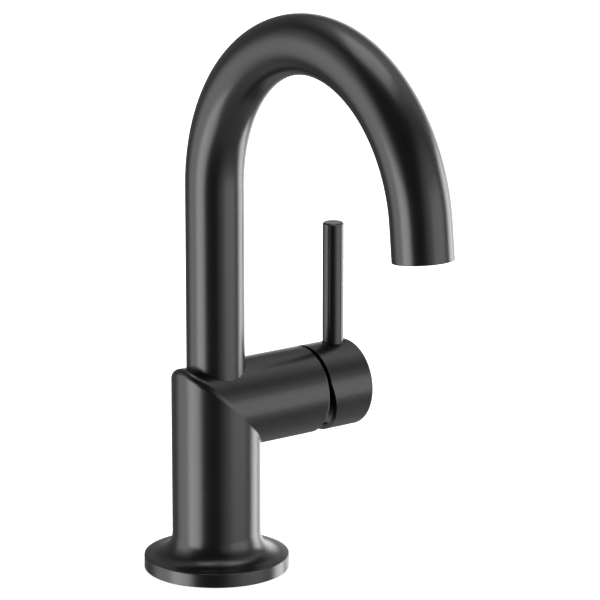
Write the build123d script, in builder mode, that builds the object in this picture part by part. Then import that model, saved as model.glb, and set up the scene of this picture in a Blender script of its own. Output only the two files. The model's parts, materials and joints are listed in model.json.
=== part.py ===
# Single-lever bathroom sink faucet with a gooseneck spout and a side handle.
# Millimetres. Z is up, the deck's surface is z = 0 and the column's axis is the Z axis.
# The spout points to -Y (the front) and the handle's arm to +X.
import os
from math import asin, cos, degrees, hypot, radians, sin, sqrt, tan

from build123d import *

os.makedirs("parts", exist_ok=True)

# Clearances
running_gap = 0.06
fixed_gap = 0.02
loose_gap = 0.1

# Column, foot flange and side arm; the column's radius follows from the cartridge that the arm holds
cartridge_radius = 14.9
thread_rise = 1.45
arm_wall = 2.55
arm_height = 71.0
arm_edge_round = 0.5
corner_radius = 3.2
crease_radius = 1.2
flange_overhang = 12.2
flange_height = 6.0
flange_edge_round = 0.5
flare_radius = 9.5
flare_rise = 0.3

# Gooseneck spout
spout_radius = 12.5
spout_wall = 1.2
spout_riser_length = 86.0
spout_bend_radius = 68.5
spout_bend_angle = 174.0
spout_end_length = 14.5
spout_edge_round = 0.3

# Handle
tilt_limit = 15.0
hub_gap = 1.75
hub_relief_rise = 5.7
hub_relief_ease = 2.0
hub_length = 24.0
hub_wall = 1.8
hub_cup_depth = 10.0
hub_edge_round = 0.9
hub_screw_radius = 2.5
rod_inset = 7.7
rod_radius = 4.6
rod_length = 54.0
rod_edge_chamfer = 0.6
rod_foot_flare = 0.35
rod_foot_flare_height = 0.5
rod_seat_margin = 0.5
rod_seat_depth = 0.8
rod_shank_radius = 3.0
rod_shank_clearance = 3.3
stem_radius = 3.9
stem_half_width = 3.0
stem_grip = 9.5

# Waterways in the body
column_wall = 3.5
cavity_shoulder = 1.0
cavity_drop = 27.0
block_bottom = 2.0
block_height = 14.0
inlet_tube_radius = 4.0
inlet_tube_wall = 1.0
inlet_tube_socket = 6.0
inlet_drill_radius = 2.4
mixed_drill_radius = 2.2

# Hose ports and mounting hardware
port_radius = 4.46
port_depth = 8.5
port_wall = 1.85
port_neck_length = 1.5
stud_radius = 4.0
stud_chamfer = 0.6
stud_wall = 3.0
stud_depth = 11.0
stud_length = 75.0
deck_thickness = 20.0
horseshoe_margin = 8.2
horseshoe_clearance = 0.75
deck_gasket_thickness = 3.0
horseshoe_thickness = 2.5
mounting_nut_flats = 13.0
mounting_nut_height = 12.0
foot_gasket_margin = 2.7
foot_gasket_width = 4.0
foot_gasket_depth = 1.6
snap_ring_thickness = 1.2
snap_ring_groove = 0.8
snap_ring_width = 2.2
snap_ring_opening = 8.8

# Spout socket, tail and seals, stacked up and down from the mixed water's feed groove
feed_rise = 4.0
feed_groove_height = 4.2
feed_groove_depth = 1.5
feed_hole_radius = 1.8
seal_spacing = 3.5
seal_groove_height = 1.8
seal_groove_depth = 1.4
slip_ring_spacing = 2.3
slip_ring_thickness = 1.4
slip_ring_depth = 0.9
slip_ring_shoulder = 1.2
tail_plug_length = 12.0
tail_bore_radius = 8.5
tail_floor = 5.0
stop_spacing = 2.7
stop_tip_radius = 1.0
stop_groove_depth = 1.4
stop_screw_radius = 2.0
stop_screw_length = 5.0
tail_end_margin = 1.8
tail_float = 0.5
swivel_limit = 60.0

# Cartridge, stacked outwards along the arm from its seat in the body
seat_wall = 5.44
port_angle = 55.6
port_rim = 0.3
base_thickness = 4.0
base_port_radius = 2.0
base_pocket_depth = 2.2
base_pocket_low = -7.0
base_pocket_high = 2.5
mixed_pocket_low = -3.0
port_seal_width = 1.1
port_seal_depth = 1.2
disc_seal_depth = 0.9
disc_seal_width = 0.8
peg_radius = 1.5
peg_length = 2.0
peg_angle = 34.4
housing_wall = 2.34
leg_width = 6.0
leg_length = 5.0
key_depth = 1.2
fixed_disc_thickness = 3.0
disc_port_arc = 26.0
disc_port_width = 3.0
moving_disc_margin = 3.1
moving_disc_thickness = 2.5
disc_cavity_rim = 2.0
disc_cavity_half_height = 2.3
disc_cavity_drop = 3.6
disc_cavity_depth = 1.2
disc_gap = 0.02
disc_carrier_flange = 2.0
disc_carrier_thickness = 6.0
disc_carrier_side_cut = 2.0
ball_radius = 2.5
ball_depth = 1.92
ball_neck_radius = 1.8
carrier_float = 0.28
carrier_flange_thickness = 2.6
carrier_lug_width = 2.6
carrier_lug_half_height = 4.5
carrier_lug_reach = 3.2
carrier_neck_radius = 7.8
carrier_neck_length = 8.6
carrier_seal_height = 1.3
carrier_seal_depth = 0.9
carrier_seal_spacing = 2.1
pin_radius = 1.5
pin_spacing = 2.0
housing_shoulder = 2.0
housing_neck_wall = 2.74
housing_neck_overlap = 0.4
thread_runout = 2.5
bonnet_thread_length = 6.0
bonnet_collar_length = 4.9
bonnet_wall = 1.34
arm_rim = 2.5
trim_thickness = 1.2
trim_spigot = 2.0
trim_spigot_wall = 1.0

# Aerator, measured back from the spout's end
aerator_recess = 0.8
aerator_wall = 1.6
aerator_length = 9.0
aerator_lip = 1.0
aerator_lip_height = 1.4
aerator_notch_width = 1.6
aerator_notches = 8
straightener_thickness = 3.0
straightener_cell = 1.15
straightener_web = 0.35
screen_thickness = 0.4
washer_thickness = 1.6

# Radii that follow from the sizes above
bore_radius = cartridge_radius + loose_gap
thread_bore_radius = bore_radius + thread_rise
column_radius = thread_bore_radius + arm_wall
flange_radius = column_radius + flange_overhang
cavity_radius = column_radius - column_wall
cavity_shoulder_radius = cavity_radius - cavity_shoulder
foot_gasket_outer = flange_radius - foot_gasket_margin
foot_gasket_inner = foot_gasket_outer - foot_gasket_width
horseshoe_radius = flange_radius - horseshoe_margin
spout_bore_radius = spout_radius - spout_wall
socket_radius = spout_radius + running_gap
housing_bore_radius = cartridge_radius - housing_wall
disc_radius = housing_bore_radius - running_gap
moving_disc_radius = disc_radius - moving_disc_margin
neck_bore_radius = carrier_neck_radius + running_gap
housing_neck_radius = neck_bore_radius + housing_neck_wall
bonnet_bore_radius = housing_neck_radius + running_gap
bonnet_flats = 2 * (bonnet_bore_radius + bonnet_wall)
trim_radius = bonnet_flats / 2 / cos(radians(30))

# Heights
block_top = block_bottom + block_height
cavity_top = arm_height - cavity_drop
feed_height = arm_height + feed_rise
upper_seal_height = feed_height + seal_spacing
lower_seal_height = feed_height - seal_spacing
slip_ring_height = upper_seal_height + slip_ring_spacing
spout_foot_height = slip_ring_height + slip_ring_shoulder
tail_top = spout_foot_height + tail_plug_length
stop_height = lower_seal_height - stop_spacing
tail_bottom = stop_height - tail_end_margin
tail_bore_floor = tail_bottom + tail_floor
socket_floor = tail_bottom - tail_float
spout_straight_top = spout_foot_height + spout_riser_length
rod_foot_height = arm_height + column_radius - rod_seat_depth
rod_shank_length = column_radius - rod_seat_depth - stem_radius - rod_shank_clearance

# Places along the arm
seat_x = socket_radius + seat_wall
base_end_x = seat_x + base_thickness
fixed_disc_end_x = base_end_x + fixed_disc_thickness
moving_disc_x = fixed_disc_end_x + disc_gap
disc_carrier_x = moving_disc_x + moving_disc_thickness
disc_carrier_end_x = disc_carrier_x + disc_carrier_thickness
ball_x = disc_carrier_end_x - ball_depth
carrier_flange_x = disc_carrier_end_x + carrier_float
carrier_flange_end_x = carrier_flange_x + carrier_flange_thickness
carrier_end_x = carrier_flange_end_x + carrier_neck_length
housing_shoulder_x = carrier_flange_end_x + loose_gap + housing_shoulder
housing_end_x = carrier_end_x + housing_neck_overlap
pivot_x = housing_shoulder_x + pin_spacing
carrier_seal_x = pivot_x + carrier_seal_spacing
thread_start_x = housing_shoulder_x - thread_runout
bonnet_thread_end_x = housing_shoulder_x + bonnet_thread_length
bonnet_end_x = bonnet_thread_end_x + bonnet_collar_length
trim_end_x = bonnet_end_x + trim_thickness
arm_end_x = bonnet_thread_end_x + arm_rim
hub_web_x = arm_end_x + hub_cup_depth
hub_end_x = arm_end_x + hub_length
rod_x = hub_end_x - rod_inset
stem_end_x = hub_web_x + stem_grip

# The hub's inner face is upright down to a line a little above the axis. Below that it leans away from
# the arm, so that the gap is still open at full tilt.
tilt = radians(tilt_limit)
hub_relief = radians(tilt_limit - hub_relief_ease)
hub_face_x = arm_end_x + hub_gap
# The stem carrier's slot and the trim's opening leave room for the stem at full tilt
slot_half_height = stem_radius / cos(tilt) + (carrier_end_x - pivot_x) * tan(tilt) + running_gap
trim_opening_radius = stem_radius / cos(tilt) + (trim_end_x - pivot_x) * tan(tilt) + 5 * loose_gap

# Places of the cartridge's ports and pegs across the arm, as (y, height above its axis)
port_pitch_radius = cartridge_radius - port_rim - port_seal_width - base_port_radius
port_y = port_pitch_radius * cos(radians(port_angle))
port_drop = port_pitch_radius * sin(radians(port_angle))
peg_y = port_pitch_radius * cos(radians(peg_angle))
peg_rise = port_pitch_radius * sin(radians(peg_angle))
port_places = [(port_y, -port_drop), (-port_y, -port_drop)]
peg_places = [(peg_y, peg_rise), (-peg_y, peg_rise)]

# Places of the hose ports, inlet tubes and stud in plan
inlet_x = sqrt((cavity_radius - port_wall - port_radius) ** 2 - port_y**2)
inlet_places = [(inlet_x, port_y), (inlet_x, -port_y)]
stud_x = stud_wall + stud_radius - cavity_radius
horseshoe_slot = 2 * (port_y + port_radius + horseshoe_clearance)
horseshoe_slot_x = inlet_x - port_radius - horseshoe_clearance

# Mitre of the elbow, bend and outlet of the spout
mitre_plane = Plane(origin=(0, 0, arm_height), z_dir=(1, 0, 1))
bend = radians(spout_bend_angle)
bend_end = Vector(0, -spout_bend_radius * (1 - cos(bend)), spout_straight_top + spout_bend_radius * sin(bend))
outlet_axis = Vector(0, -sin(bend), cos(bend))
outlet_point = bend_end + outlet_axis * spout_end_length


def across_arm(x):
    """A sketch plane square to the arm's axis, looking out along it: local x is +Y and local y is +Z."""
    return Plane(origin=(x, 0, arm_height), x_dir=(0, 1, 0), z_dir=(1, 0, 0))


def across_outlet(depth):
    """A sketch plane square to the outlet's axis, at a depth back from the spout's end, facing out."""
    return Plane(origin=outlet_point - outlet_axis * depth, x_dir=(1, 0, 0), z_dir=outlet_axis)


def across_stop(y):
    """A sketch plane square to the stop screw's axis, facing the back."""
    return Plane(origin=(0, y, stop_height), x_dir=(1, 0, 0), z_dir=(0, 1, 0))


def elbow(radius):
    """The column and the arm as plain round bars of one radius, joined at the mitre plane."""
    with BuildPart() as upright:
        with BuildSketch(Plane.XY):
            Circle(radius)
        extrude(amount=2 * arm_height)
        split(bisect_by=mitre_plane, keep=Keep.BOTTOM)
    with BuildPart() as branch:
        with BuildSketch(across_arm(-arm_height)):
            Circle(radius)
        extrude(amount=arm_height + arm_end_x)
        split(bisect_by=mitre_plane, keep=Keep.TOP)
    with BuildPart() as bars:
        add(upright.part)
        add(branch.part)
    return bars.part


def rolled_ball(ball_radius, side):
    """What a ball sweeps that rolls along the mitre and touches both bars, inside (-1) or outside (1)."""
    centre_radius = column_radius + side * ball_radius
    middle = Plane(origin=(0, 0, arm_height), x_dir=(side, 0, -side), z_dir=(side, 0, side))
    with BuildLine(middle) as track:
        EllipticalCenterArc(
            center=(0, 0),
            x_radius=centre_radius * sqrt(2),
            y_radius=centre_radius,
            start_angle=-90,
            arc_size=180,
        )
    track_edge = track.edges()[0]
    with BuildPart() as canal:
        with BuildSketch(Plane(origin=track_edge @ 0, z_dir=track_edge % 0)):
            Circle(ball_radius)
        sweep(path=track_edge)
    return canal.part


def contact_wedge(ball_radius, side):
    """The wedge between the two planes on which that ball touches the column and the arm."""
    near = 3 * column_radius
    far = near * (1 + side * ball_radius / column_radius)
    with BuildPart() as wedge:
        with BuildSketch(Plane.XZ):
            with BuildLine():
                Polyline(
                    (0, arm_height),
                    (side * near, arm_height - side * far),
                    (side * far, arm_height - side * near),
                    (0, arm_height),
                )
            make_face()
        extrude(amount=2 * column_radius, both=True)
    return wedge.part


def write(part, name):
    """Label a finished piece and write it."""
    part.part.label = name
    export_step(part.part, f"parts/{name}.step")


# Body shell: the column with its flared foot, up to the mitre plane
with BuildPart() as column:
    with BuildSketch(Plane.XZ):
        with BuildLine():
            flare_foot = (column_radius + flare_radius, flange_height + flare_rise)
            flare_top = (column_radius, flare_foot[1] + flare_radius)
            Polyline((0, 0), (flange_radius, 0), (flange_radius, flange_height), flare_foot)
            CenterArc((flare_foot[0], flare_top[1]), flare_radius, 270, -90)
            Polyline(flare_top, (column_radius, 2 * arm_height), (0, 2 * arm_height), (0, 0))
        make_face()
    revolve(axis=Axis.Z)
    rim = column.edges().filter_by(GeomType.CIRCLE).filter_by(lambda e: abs(e.radius - flange_radius) < 0.01)
    fillet(rim, radius=flange_edge_round)
    split(bisect_by=mitre_plane, keep=Keep.BOTTOM)

# The arm, from the mitre plane to its open end
with BuildPart() as arm:
    with BuildSketch(across_arm(-2 * column_radius)):
        Circle(column_radius)
    extrude(amount=arm_end_x + 2 * column_radius)
    fillet(arm.faces().sort_by(Axis.X)[-1].edges(), radius=arm_edge_round)
    split(bisect_by=mitre_plane, keep=Keep.TOP)

# What is rolled off the elbow's outer corner, and what fills its inner crease
with BuildPart() as corner_waste:
    add(contact_wedge(corner_radius, -1))
    add(elbow(column_radius - corner_radius), mode=Mode.SUBTRACT)
    add(rolled_ball(corner_radius, -1), mode=Mode.SUBTRACT)

with BuildPart() as crease_fill:
    add(contact_wedge(crease_radius, 1))
    add(elbow(column_radius + crease_radius / 2), mode=Mode.INTERSECT)
    add(rolled_ball(crease_radius, 1), mode=Mode.SUBTRACT)

with BuildPart() as body_shell:
    add(column.part)
    add(arm.part)
    add(corner_waste.part, mode=Mode.SUBTRACT)
    add(crease_fill.part)

    # Open column with a shoulder for the inlet block and a groove for its snap ring
    with BuildSketch(Plane.XY):
        Circle(cavity_radius)
    extrude(amount=block_top, mode=Mode.SUBTRACT)
    with BuildSketch(Plane.XY.offset(block_top)):
        Circle(cavity_shoulder_radius)
    extrude(amount=cavity_top - block_top, mode=Mode.SUBTRACT)
    with BuildSketch(Plane.XY.offset(block_bottom)):
        Circle(cavity_radius + snap_ring_groove)
    extrude(amount=-snap_ring_thickness - fixed_gap, mode=Mode.SUBTRACT)

    # Groove for the foot gasket
    with BuildSketch(Plane.XY):
        Circle(foot_gasket_outer)
        Circle(foot_gasket_inner, mode=Mode.SUBTRACT)
    extrude(amount=foot_gasket_depth, mode=Mode.SUBTRACT)

    # Hot and cold waterways: tube sockets, risers, then cross drillings to the cartridge's seat
    with BuildSketch(Plane.XY.offset(cavity_top)):
        with Locations(*inlet_places):
            Circle(inlet_tube_radius + fixed_gap)
    extrude(amount=inlet_tube_socket, mode=Mode.SUBTRACT)
    with BuildSketch(Plane.XY.offset(cavity_top)):
        with Locations(*inlet_places):
            Circle(inlet_drill_radius)
    extrude(amount=arm_height - port_drop - cavity_top, mode=Mode.SUBTRACT)
    with BuildSketch(across_arm(inlet_x)):
        with Locations(*port_places):
            Circle(inlet_drill_radius)
    extrude(amount=seat_x - inlet_x, mode=Mode.SUBTRACT)

    # Cartridge bore, its thread and the peg holes in its seat
    with BuildSketch(across_arm(seat_x)):
        Circle(bore_radius)
    extrude(amount=arm_end_x - seat_x, mode=Mode.SUBTRACT)
    with BuildSketch(across_arm(thread_start_x)):
        Circle(thread_bore_radius)
    extrude(amount=arm_end_x - thread_start_x, mode=Mode.SUBTRACT)
    with BuildSketch(across_arm(seat_x)):
        with Locations(*peg_places):
            Circle(peg_radius + fixed_gap)
    extrude(amount=-peg_length - fixed_gap, mode=Mode.SUBTRACT)

    # Spout socket, the mixed water's way into it and the stop screw's hole
    with BuildSketch(Plane.XY.offset(socket_floor)):
        Circle(socket_radius)
    extrude(amount=arm_height, mode=Mode.SUBTRACT)
    with BuildSketch(across_arm(0)):
        with Locations((0, feed_rise)):
            Circle(mixed_drill_radius)
    extrude(amount=seat_x, mode=Mode.SUBTRACT)
    with BuildSketch(across_stop(0)):
        Circle(stop_screw_radius + fixed_gap)
    extrude(amount=2 * column_radius, mode=Mode.SUBTRACT)
write(body_shell, "body_shell")

# Foot gasket: a flat rubber ring pressed flush into the flange's groove
with BuildPart() as base_gasket:
    with BuildSketch(Plane.XY):
        Circle(foot_gasket_outer - fixed_gap)
        Circle(foot_gasket_inner + fixed_gap, mode=Mode.SUBTRACT)
    extrude(amount=foot_gasket_depth)
write(base_gasket, "base_gasket")

# Inlet block: the brass disc that takes both hoses from below and both tubes from above
with BuildPart() as inlet_block:
    with BuildSketch(Plane.XY.offset(block_bottom)):
        Circle(cavity_radius - fixed_gap)
    extrude(amount=block_height)
    with BuildSketch(Plane.XY.offset(block_bottom)):
        with Locations(*inlet_places):
            Circle(port_radius)
    extrude(amount=port_depth, mode=Mode.SUBTRACT)
    with BuildSketch(Plane.XY.offset(block_bottom)):
        with Locations(*inlet_places):
            Circle(inlet_tube_radius - inlet_tube_wall)
    extrude(amount=block_height, mode=Mode.SUBTRACT)
    with BuildSketch(Plane.XY.offset(block_bottom + port_depth + port_neck_length)):
        with Locations(*inlet_places):
            Circle(inlet_tube_radius + fixed_gap)
    extrude(amount=block_height, mode=Mode.SUBTRACT)
    with BuildSketch(Plane.XY.offset(block_bottom)):
        with Locations((stud_x, 0)):
            Circle(stud_radius + fixed_gap)
    extrude(amount=stud_depth, mode=Mode.SUBTRACT)
write(inlet_block, "inlet_block")

# Snap ring under the block, open at the front
with BuildPart() as block_snap_ring:
    ring_outer = cavity_radius + snap_ring_groove - fixed_gap
    ring_inner = ring_outer - snap_ring_width
    with BuildSketch(Plane.XY.offset(block_bottom - snap_ring_thickness)):
        Circle(ring_outer)
        Circle(ring_inner, mode=Mode.SUBTRACT)
        with Locations((0, -ring_outer)):
            Rectangle(snap_ring_opening, snap_ring_opening, mode=Mode.SUBTRACT)
    extrude(amount=snap_ring_thickness)
write(block_snap_ring, "block_snap_ring")

# Inlet tubes from the block to the body's risers
for name, place in zip(("hot_inlet_tube", "cold_inlet_tube"), inlet_places):
    with BuildPart() as inlet_tube:
        tube_foot = block_bottom + port_depth + port_neck_length
        with BuildSketch(Plane.XY.offset(tube_foot)):
            with Locations(place):
                Circle(inlet_tube_radius)
                Circle(inlet_tube_radius - inlet_tube_wall, mode=Mode.SUBTRACT)
        extrude(amount=cavity_top + inlet_tube_socket - tube_foot)
    write(inlet_tube, name)

# Mounting stud, screwed up into the block
with BuildPart() as mounting_stud:
    with BuildSketch(Plane.XY.offset(block_bottom + stud_depth)):
        with Locations((stud_x, 0)):
            Circle(stud_radius)
    extrude(amount=-stud_length)
    chamfer(mounting_stud.edges().filter_by(GeomType.CIRCLE), length=stud_chamfer)
write(mounting_stud, "mounting_stud")


def horseshoe(top, thickness, stud_gap):
    """A round plate with a hole for the stud and a slot that lets the hoses through."""
    with BuildPart() as plate:
        with BuildSketch(Plane.XY.offset(top)):
            Circle(horseshoe_radius)
            with Locations((stud_x, 0)):
                Circle(stud_radius + stud_gap, mode=Mode.SUBTRACT)
            with Locations((horseshoe_slot_x, 0)):
                Rectangle(
                    2 * horseshoe_radius,
                    horseshoe_slot,
                    align=(Align.MIN, Align.CENTER),
                    mode=Mode.SUBTRACT,
                )
        extrude(amount=-thickness)
    return plate


# Clamping stack below the deck: rubber, steel, nut
write(horseshoe(-deck_thickness, deck_gasket_thickness, loose_gap), "deck_gasket")
washer_top = -deck_thickness - deck_gasket_thickness
write(horseshoe(washer_top, horseshoe_thickness, 3 * loose_gap), "horseshoe_washer")
with BuildPart() as mounting_nut:
    with BuildSketch(Plane.XY.offset(washer_top - horseshoe_thickness)):
        with Locations((stud_x, 0)):
            RegularPolygon(mounting_nut_flats / 2, 6, major_radius=False)
            Circle(stud_radius + fixed_gap, mode=Mode.SUBTRACT)
    extrude(amount=-mounting_nut_height)
write(mounting_nut, "mounting_nut")

# Spout tube: one round tube along a straight, a long bend and a short straight
with BuildPart() as spout_tube:
    with BuildLine() as spout_path:
        Line((0, 0, spout_foot_height), (0, 0, spout_straight_top))
        TangentArc((0, 0, spout_straight_top), bend_end, tangent=(0, 0, 1))
        Line(bend_end, outlet_point)
    with BuildSketch(Plane.XY.offset(spout_foot_height)):
        Circle(spout_radius)
        Circle(spout_bore_radius, mode=Mode.SUBTRACT)
    sweep(path=spout_path.line)
    spout_mouth = spout_tube.faces().filter_by(GeomType.PLANE).sort_by(Axis.Y)[0]
    fillet(spout_mouth.edges().sort_by(SortBy.LENGTH)[-1], radius=spout_edge_round)
write(spout_tube, "spout_tube")

# Spout tail: the turned brass end inside the tube and the body's socket
with BuildPart() as spout_tail:
    with BuildSketch(Plane.XY.offset(tail_bottom)):
        Circle(spout_radius)
    extrude(amount=spout_foot_height - tail_bottom)
    with BuildSketch(Plane.XY.offset(spout_foot_height)):
        Circle(spout_bore_radius - fixed_gap)
    extrude(amount=tail_top - spout_foot_height)
    with BuildSketch(Plane.XY.offset(tail_bore_floor)):
        Circle(tail_bore_radius)
    extrude(amount=tail_top - tail_bore_floor, mode=Mode.SUBTRACT)
    for centre, height, depth in (
        (upper_seal_height, seal_groove_height, seal_groove_depth),
        (lower_seal_height, seal_groove_height, seal_groove_depth),
        (slip_ring_height, slip_ring_thickness + fixed_gap, slip_ring_depth),
        (feed_height, feed_groove_height, feed_groove_depth),
    ):
        with BuildSketch(Plane.XY.offset(centre)):
            Circle(2 * spout_radius)
            Circle(spout_radius - depth, mode=Mode.SUBTRACT)
        extrude(amount=height / 2, both=True, mode=Mode.SUBTRACT)
    for turn in (0, 45, 90, 135):
        with BuildSketch(Plane.XZ.rotated((0, 0, turn))):
            with Locations((0, feed_height)):
                Circle(feed_hole_radius)
        extrude(amount=spout_radius, both=True, mode=Mode.SUBTRACT)
    # The stop groove runs part of the way round the back; the stop screw's tip rides in it
    tip_angle = degrees(asin(stop_tip_radius / (spout_radius - stop_groove_depth)))
    stop_sweep = 2 * (swivel_limit + tip_angle + 1)
    start = 90 - stop_sweep / 2
    start_plane = Plane(
        origin=(0, 0, stop_height),
        x_dir=(cos(radians(start)), sin(radians(start)), 0),
        z_dir=(sin(radians(start)), -cos(radians(start)), 0),
    )
    with BuildSketch(start_plane):
        with Locations((spout_radius, 0)):
            Rectangle(2 * stop_groove_depth, 2 * (stop_tip_radius + loose_gap))
    revolve(axis=Axis.Z, revolution_arc=stop_sweep, mode=Mode.SUBTRACT)
write(spout_tail, "spout_tail")

# O-rings of the tail, as squeezed between groove and socket
with BuildPart() as spout_o_rings:
    seal_inner = spout_radius - seal_groove_depth
    seal_section = (socket_radius - fixed_gap - seal_inner) / 2
    seal_middle = seal_inner + seal_section
    with BuildSketch(Plane.XZ):
        with Locations((seal_middle, lower_seal_height), (seal_middle, upper_seal_height)):
            Circle(seal_section)
    revolve(axis=Axis.Z)
write(spout_o_rings, "spout_o_rings")

# Slip ring: the low-friction band that the spout turns on
with BuildPart() as spout_slip_ring:
    with BuildSketch(Plane.XY.offset(slip_ring_height)):
        Circle(socket_radius - fixed_gap)
        Circle(spout_radius - slip_ring_depth, mode=Mode.SUBTRACT)
    extrude(amount=slip_ring_thickness / 2, both=True)
write(spout_slip_ring, "spout_slip_ring")

# Stop screw: a grub screw from the back, with a thin tip and a hex socket
with BuildPart() as spout_stop_screw:
    tip_start = spout_radius - stop_groove_depth + 2 * loose_gap
    screw_start = socket_radius + loose_gap
    with BuildSketch(across_stop(tip_start)):
        Circle(stop_tip_radius)
    extrude(amount=screw_start - tip_start)
    with BuildSketch(across_stop(screw_start)):
        Circle(stop_screw_radius)
    extrude(amount=stop_screw_length)
    with BuildSketch(across_stop(screw_start + stop_screw_length)):
        RegularPolygon(stop_screw_radius / 2, 6, major_radius=False)
    extrude(amount=-stop_screw_length / 2, mode=Mode.SUBTRACT)
write(spout_stop_screw, "spout_stop_screw")

# Aerator housing: a ring in the spout's end, with an inner lip and key notches
with BuildPart() as aerator_housing:
    aerator_outer = spout_bore_radius - fixed_gap
    aerator_inner = aerator_outer - aerator_wall
    with BuildSketch(across_outlet(aerator_recess)):
        Circle(aerator_outer)
        Circle(aerator_inner, mode=Mode.SUBTRACT)
    extrude(amount=-aerator_length)
    with BuildSketch(across_outlet(aerator_recess)):
        Circle(aerator_inner + fixed_gap)
        Circle(aerator_inner - aerator_lip, mode=Mode.SUBTRACT)
    extrude(amount=-aerator_lip_height)
    with BuildSketch(across_outlet(aerator_recess)):
        with PolarLocations(aerator_inner - aerator_lip, aerator_notches):
            Rectangle(2 * aerator_lip, aerator_notch_width)
    extrude(amount=-aerator_lip_height / 2, mode=Mode.SUBTRACT)
write(aerator_housing, "aerator_housing")

# Flow straightener: a honeycomb disc behind the lip
with BuildPart() as flow_straightener:
    straightener_depth = aerator_recess + aerator_lip_height
    straightener_radius = aerator_inner - fixed_gap
    pitch = 2 * straightener_cell + straightener_web
    rows = int(straightener_radius / (pitch * sin(radians(60)))) + 1
    cells = []
    for row in range(-rows, rows + 1):
        for column_index in range(-rows - 1, rows + 2):
            cell_x = (column_index + (row % 2) / 2) * pitch
            cell_y = row * pitch * sin(radians(60))
            if hypot(cell_x, cell_y) < straightener_radius - pitch / 2 - straightener_web:
                cells.append((cell_x, cell_y))
    with BuildSketch(across_outlet(straightener_depth)):
        Circle(straightener_radius)
        with Locations(*cells):
            RegularPolygon(straightener_cell, 6, major_radius=False, rotation=30, mode=Mode.SUBTRACT)
    extrude(amount=-straightener_thickness)
write(flow_straightener, "flow_straightener")

# Screen and washer that close the aerator's stack
with BuildPart() as aerator_screen:
    with BuildSketch(across_outlet(straightener_depth + straightener_thickness)):
        Circle(straightener_radius)
    extrude(amount=-screen_thickness)
write(aerator_screen, "aerator_screen")
with BuildPart() as aerator_washer:
    with BuildSketch(across_outlet(aerator_recess + aerator_length)):
        Circle(aerator_outer)
        Circle(aerator_inner - aerator_lip / 2, mode=Mode.SUBTRACT)
    extrude(amount=-washer_thickness)
write(aerator_washer, "aerator_washer")

# Cartridge base: ports on the seat's side, pockets that lead to the discs on the other
with BuildPart() as cartridge_base:
    pocket_length = base_pocket_high - base_pocket_low
    pocket_middle = (base_pocket_high + base_pocket_low) / 2
    pocket_places = [(port_y, pocket_middle), (-port_y, pocket_middle)]
    mixed_length = feed_rise - mixed_pocket_low
    mixed_place = (0, (feed_rise + mixed_pocket_low) / 2)
    with BuildSketch(across_arm(seat_x)):
        Circle(cartridge_radius)
    extrude(amount=base_thickness)
    with BuildSketch(across_arm(seat_x)):
        with Locations(*peg_places):
            Circle(peg_radius)
    extrude(amount=-peg_length)
    with BuildSketch(across_arm(seat_x)):
        with Locations(*port_places, (0, feed_rise)):
            Circle(base_port_radius)
    extrude(amount=base_pocket_depth, mode=Mode.SUBTRACT)
    with BuildSketch(across_arm(seat_x)):
        with Locations(*port_places, (0, feed_rise)):
            Circle(base_port_radius + port_seal_width)
    extrude(amount=port_seal_depth, mode=Mode.SUBTRACT)
    with BuildSketch(across_arm(base_end_x)):
        with Locations(*pocket_places):
            SlotCenterToCenter(pocket_length, 2 * base_port_radius, rotation=90)
        with Locations(mixed_place):
            SlotCenterToCenter(mixed_length, 2 * base_port_radius, rotation=90)
    extrude(amount=-base_pocket_depth, mode=Mode.SUBTRACT)
    with BuildSketch(across_arm(base_end_x)):
        with Locations(*pocket_places):
            SlotCenterToCenter(pocket_length, 2 * (base_port_radius + disc_seal_width), rotation=90)
        with Locations(mixed_place):
            SlotCenterToCenter(mixed_length, 2 * (base_port_radius + disc_seal_width), rotation=90)
    extrude(amount=-disc_seal_depth, mode=Mode.SUBTRACT)
    # Two legs clip into the housing's wall, and a key on each holds the fixed disc still
    with BuildSketch(across_arm(base_end_x)):
        Circle(cartridge_radius)
        Circle(housing_bore_radius, mode=Mode.SUBTRACT)
        Rectangle(2 * cartridge_radius, leg_width, mode=Mode.INTERSECT)
    extrude(amount=leg_length)
    with BuildSketch(across_arm(base_end_x)):
        Circle(cartridge_radius)
        Circle(disc_radius - key_depth + running_gap, mode=Mode.SUBTRACT)
        Rectangle(2 * cartridge_radius, leg_width, mode=Mode.INTERSECT)
    extrude(amount=fixed_disc_thickness - fixed_gap)
write(cartridge_base, "cartridge_base")

# Seals between body and base, one ring round each port
with BuildPart() as port_seals:
    with BuildSketch(across_arm(seat_x)):
        with Locations(*port_places, (0, feed_rise)):
            Circle(base_port_radius + port_seal_width - fixed_gap)
            Circle(base_port_radius, mode=Mode.SUBTRACT)
    extrude(amount=port_seal_depth)
write(port_seals, "port_seals")

# Seals between base and fixed disc, one long ring round each pocket
with BuildPart() as disc_seals:
    seal_outer = base_port_radius + disc_seal_width - fixed_gap
    with BuildSketch(across_arm(base_end_x)):
        with Locations(*pocket_places):
            SlotCenterToCenter(pocket_length, 2 * seal_outer, rotation=90)
            SlotCenterToCenter(pocket_length, 2 * base_port_radius, rotation=90, mode=Mode.SUBTRACT)
        with Locations(mixed_place):
            SlotCenterToCenter(mixed_length, 2 * seal_outer, rotation=90)
            SlotCenterToCenter(mixed_length, 2 * base_port_radius, rotation=90, mode=Mode.SUBTRACT)
    extrude(amount=-disc_seal_depth)
write(disc_seals, "disc_seals")

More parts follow.
